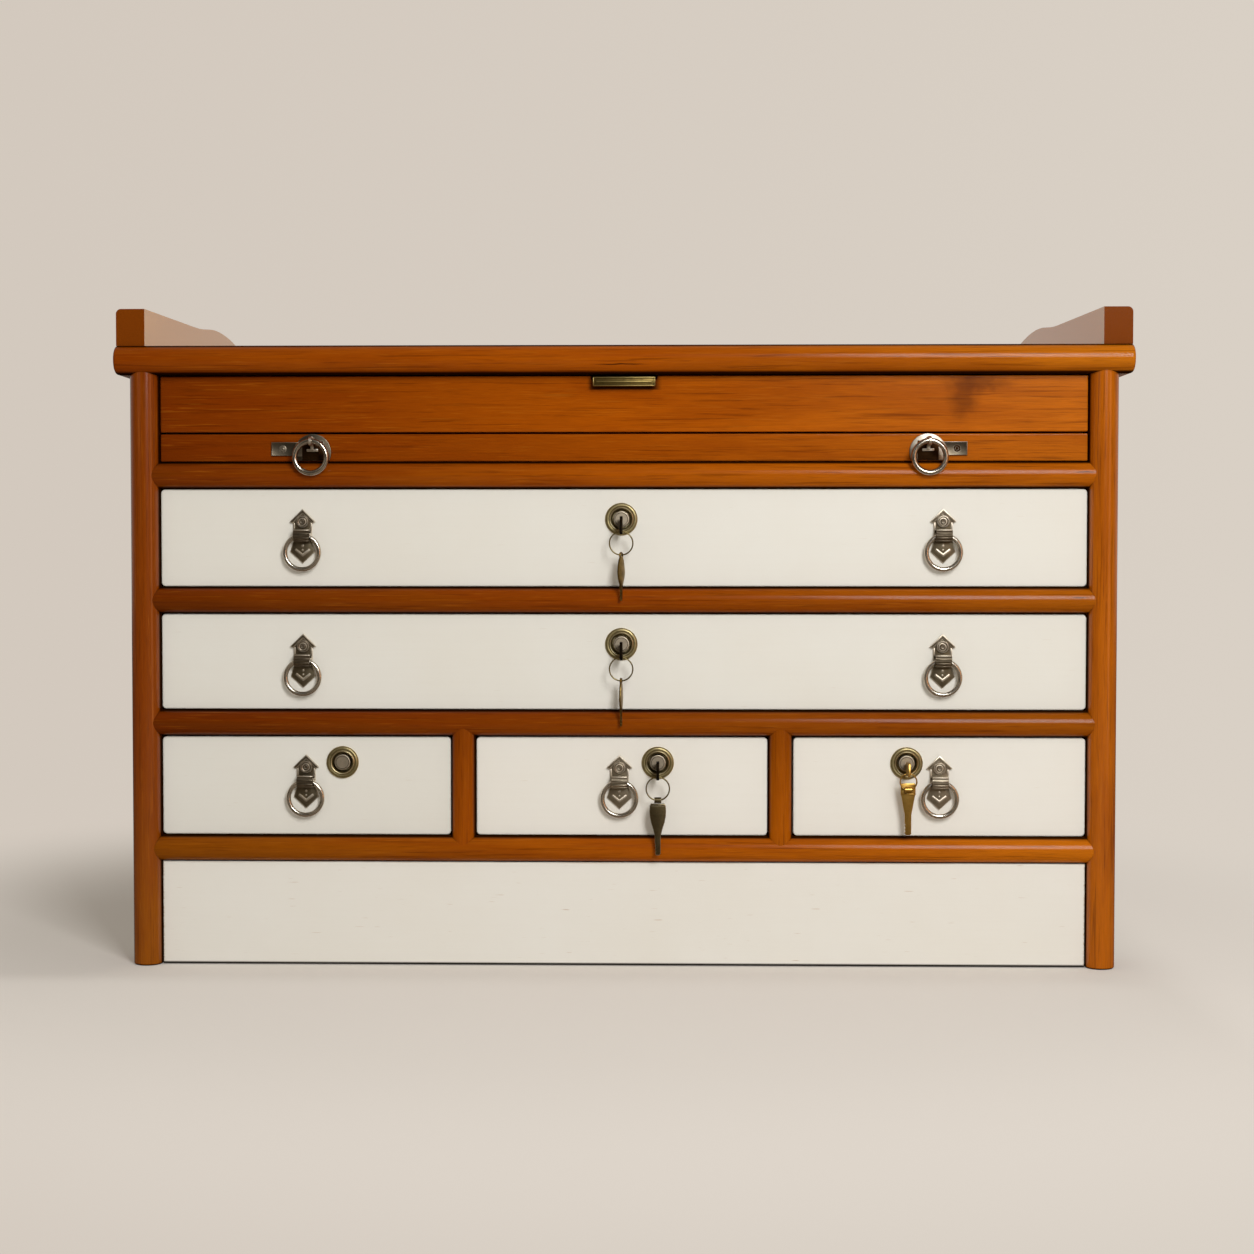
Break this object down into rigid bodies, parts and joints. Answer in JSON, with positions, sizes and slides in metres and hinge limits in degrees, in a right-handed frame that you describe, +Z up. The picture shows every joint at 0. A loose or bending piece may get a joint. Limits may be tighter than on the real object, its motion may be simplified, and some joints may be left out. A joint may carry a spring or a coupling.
{
  "type": "tabletop chest of drawers",
  "caption": "Low tabletop chest in a half-round hardwood frame, with painted drawers on ring pulls, keyed cam locks, a shallow tray drawer and a pull-out writing slide.",
  "frame": {"origin": "on the table under the middle of the chest's bounding box", "axes": "+X to the right as seen from the front, +Y to the back, +Z up"},
  "size_m": [0.708, 0.3487, 0.4716],
  "materials": {
    "varnished_wood": "glossy varnish",
    "painted_wood": "satin cream paint",
    "drawer_wood": "bare wood",
    "pull_metal": "aged nickel",
    "pull_brass": "aged brass",
    "lock_brass": "aged brass",
    "key_brass": "worn brass",
    "key_ring_steel": "steel wire"
  },
  "bodies": {
    "carcass": {"top_board": "varnished_wood", "top_galleries": "varnished_wood", "front_posts": "varnished_wood", "rear_posts": "varnished_wood", "front_rails": "varnished_wood", "drawer_dividers": "varnished_wood", "side_rails": "varnished_wood", "side_panels": "painted_wood", "back_panel": "drawer_wood", "plinth_panel": "painted_wood", "dust_boards": "drawer_wood", "drawer_guides": "drawer_wood"},
    "tray_drawer": {"tray_front": "varnished_wood", "tray_box": "drawer_wood", "tray_edge_pull": "pull_brass"},
    "writing_slide": {"slide_board": "varnished_wood", "slide_lip": "varnished_wood", "slide_pull_plates": "pull_metal"},
    "slide_ring_left_body": {"slide_ring_left": "pull_metal"},
    "slide_ring_right_body": {"slide_ring_right": "pull_metal"},
    "upper_drawer": {"upper_front": "painted_wood", "upper_box": "drawer_wood", "upper_pull_plates": "pull_metal", "upper_lock_body": "lock_brass"},
    "upper_ring_left_body": {"upper_ring_left": "pull_metal"},
    "upper_ring_right_body": {"upper_ring_right": "pull_metal"},
    "upper_lock": {"upper_lock_plug": "lock_brass"},
    "upper_key_ring_body": {"upper_key_ring": "key_ring_steel"},
    "upper_spare_key_body": {"upper_spare_key": "key_brass"},
    "lower_drawer": {"lower_front": "painted_wood", "lower_box": "drawer_wood", "lower_pull_plates": "pull_metal", "lower_lock_body": "lock_brass"},
    "lower_ring_left_body": {"lower_ring_left": "pull_metal"},
    "lower_ring_right_body": {"lower_ring_right": "pull_metal"},
    "lower_lock": {"lower_lock_plug": "lock_brass"},
    "lower_key_ring_body": {"lower_key_ring": "key_ring_steel"},
    "lower_spare_key_body": {"lower_spare_key": "key_brass"},
    "left_drawer": {"left_front": "painted_wood", "left_box": "drawer_wood", "left_pull_plate": "pull_metal", "left_lock_body": "lock_brass"},
    "left_ring_body": {"left_ring": "pull_metal"},
    "left_lock": {"left_lock_plug": "lock_brass"},
    "middle_drawer": {"middle_front": "painted_wood", "middle_box": "drawer_wood", "middle_pull_plate": "pull_metal", "middle_lock_body": "lock_brass"},
    "middle_ring_body": {"middle_ring": "pull_metal"},
    "middle_lock": {"middle_lock_plug": "lock_brass"},
    "middle_key_ring_body": {"middle_key_ring": "key_ring_steel"},
    "middle_spare_key_body": {"middle_spare_key": "key_brass"},
    "right_drawer": {"right_front": "painted_wood", "right_box": "drawer_wood", "right_pull_plate": "pull_metal", "right_lock_body": "lock_brass"},
    "right_ring_body": {"right_ring": "pull_metal"},
    "right_lock": {"right_lock_plug": "lock_brass"},
    "right_key_ring_body": {"right_key_ring": "key_ring_steel"},
    "right_spare_key_body": {"right_spare_key": "key_brass"}
  },
  "joints": [
    {"name": "tray_drawer_slide", "type": "slide", "parent": "carcass", "child": "tray_drawer", "axis": [0, -1, 0], "range_m": [0, 0.22]},
    {"name": "writing_slide_pull", "type": "slide", "parent": "carcass", "child": "writing_slide", "axis": [0, -1, 0], "range_m": [0, 0.22]},
    {"name": "slide_ring_left_swing", "type": "hinge", "parent": "writing_slide", "child": "slide_ring_left_body", "pos_m": [-0.2166, -0.168, 0.3682], "axis": [-1, 0, 0], "range_deg": [0, 95]},
    {"name": "slide_ring_right_swing", "type": "hinge", "parent": "writing_slide", "child": "slide_ring_right_body", "pos_m": [0.2132, -0.168, 0.3682], "axis": [-1, 0, 0], "range_deg": [0, 95]},
    {"name": "upper_drawer_slide", "type": "slide", "parent": "carcass", "child": "upper_drawer", "axis": [0, -1, 0], "range_m": [0, 0.22]},
    {"name": "upper_ring_left_swing", "type": "hinge", "parent": "upper_drawer", "child": "upper_ring_left_body", "pos_m": [-0.224, -0.16051, 0.3028], "axis": [-1, 0, 0], "range_deg": [-3, 95]},
    {"name": "upper_ring_right_swing", "type": "hinge", "parent": "upper_drawer", "child": "upper_ring_right_body", "pos_m": [0.224, -0.16051, 0.3028], "axis": [-1, 0, 0], "range_deg": [-3, 95]},
    {"name": "upper_lock_turn", "type": "hinge", "parent": "upper_drawer", "child": "upper_lock", "pos_m": [-0.0003, -0.156, 0.3141], "axis": [0, 1, 0], "range_deg": [0, 90]},
    {"name": "upper_key_ring_swing", "type": "hinge", "parent": "upper_lock", "child": "upper_key_ring_body", "pos_m": [-0.0003, -0.1686, 0.3052], "axis": [-1, 0, 0], "range_deg": [0, 80]},
    {"name": "upper_spare_key_swing", "type": "hinge", "parent": "upper_key_ring_body", "child": "upper_spare_key_body", "pos_m": [-0.0003, -0.1686, 0.2892], "axis": [-1, 0, 0], "range_deg": [0, 70]},
    {"name": "lower_drawer_slide", "type": "slide", "parent": "carcass", "child": "lower_drawer", "axis": [0, -1, 0], "range_m": [0, 0.22]},
    {"name": "lower_ring_left_swing", "type": "hinge", "parent": "lower_drawer", "child": "lower_ring_left_body", "pos_m": [-0.224, -0.16051, 0.2153], "axis": [-1, 0, 0], "range_deg": [-3, 95]},
    {"name": "lower_ring_right_swing", "type": "hinge", "parent": "lower_drawer", "child": "lower_ring_right_body", "pos_m": [0.224, -0.16051, 0.2153], "axis": [-1, 0, 0], "range_deg": [-3, 95]},
    {"name": "lower_lock_turn", "type": "hinge", "parent": "lower_drawer", "child": "lower_lock", "pos_m": [-0.0003, -0.156, 0.2266], "axis": [0, 1, 0], "range_deg": [0, 90]},
    {"name": "lower_key_ring_swing", "type": "hinge", "parent": "lower_lock", "child": "lower_key_ring_body", "pos_m": [-0.0003, -0.1686, 0.2177], "axis": [-1, 0, 0], "range_deg": [0, 80]},
    {"name": "lower_spare_key_swing", "type": "hinge", "parent": "lower_key_ring_body", "child": "lower_spare_key_body", "pos_m": [-0.0003, -0.1686, 0.2017], "axis": [-1, 0, 0], "range_deg": [0, 70]},
    {"name": "left_drawer_slide", "type": "slide", "parent": "carcass", "child": "left_drawer", "axis": [0, -1, 0], "range_m": [0, 0.21]},
    {"name": "left_ring_swing", "type": "hinge", "parent": "left_drawer", "child": "left_ring_body", "pos_m": [-0.2223, -0.16051, 0.1302], "axis": [-1, 0, 0], "range_deg": [-3, 95]},
    {"name": "left_lock_turn", "type": "hinge", "parent": "left_drawer", "child": "left_lock", "pos_m": [-0.1966, -0.156, 0.1432], "axis": [0, 1, 0], "range_deg": [0, 90]},
    {"name": "middle_drawer_slide", "type": "slide", "parent": "carcass", "child": "middle_drawer", "axis": [0, -1, 0], "range_m": [0, 0.21]},
    {"name": "middle_ring_swing", "type": "hinge", "parent": "middle_drawer", "child": "middle_ring_body", "pos_m": [-0.0016, -0.16051, 0.1302], "axis": [-1, 0, 0], "range_deg": [-3, 95]},
    {"name": "middle_lock_turn", "type": "hinge", "parent": "middle_drawer", "child": "middle_lock", "pos_m": [0.0253, -0.156, 0.1432], "axis": [0, -1, 0], "range_deg": [0, 90]},
    {"name": "middle_key_ring_swing", "type": "hinge", "parent": "middle_lock", "child": "middle_key_ring_body", "pos_m": [0.0253, -0.1686, 0.1343], "axis": [-1, 0, 0], "range_deg": [0, 80]},
    {"name": "middle_spare_key_swing", "type": "hinge", "parent": "middle_key_ring_body", "child": "middle_spare_key_body", "pos_m": [0.0253, -0.1686, 0.1183], "axis": [-1, 0, 0], "range_deg": [0, 70]},
    {"name": "right_drawer_slide", "type": "slide", "parent": "carcass", "child": "right_drawer", "axis": [0, -1, 0], "range_m": [0, 0.21]},
    {"name": "right_ring_swing", "type": "hinge", "parent": "right_drawer", "child": "right_ring_body", "pos_m": [0.2223, -0.16051, 0.1302], "axis": [-1, 0, 0], "range_deg": [-3, 95]},
    {"name": "right_lock_turn", "type": "hinge", "parent": "right_drawer", "child": "right_lock", "pos_m": [0.1994, -0.156, 0.1432], "axis": [0, 1, 0], "range_deg": [0, 90]},
    {"name": "right_key_ring_swing", "type": "hinge", "parent": "right_lock", "child": "right_key_ring_body", "pos_m": [0.1994, -0.1686, 0.1371], "axis": [-1, 0, 0], "range_deg": [0, 80]},
    {"name": "right_spare_key_swing", "type": "hinge", "parent": "right_key_ring_body", "child": "right_spare_key_body", "pos_m": [0.1994, -0.1686, 0.1259], "axis": [-1, 0, 0], "range_deg": [0, 70]}
  ]
}
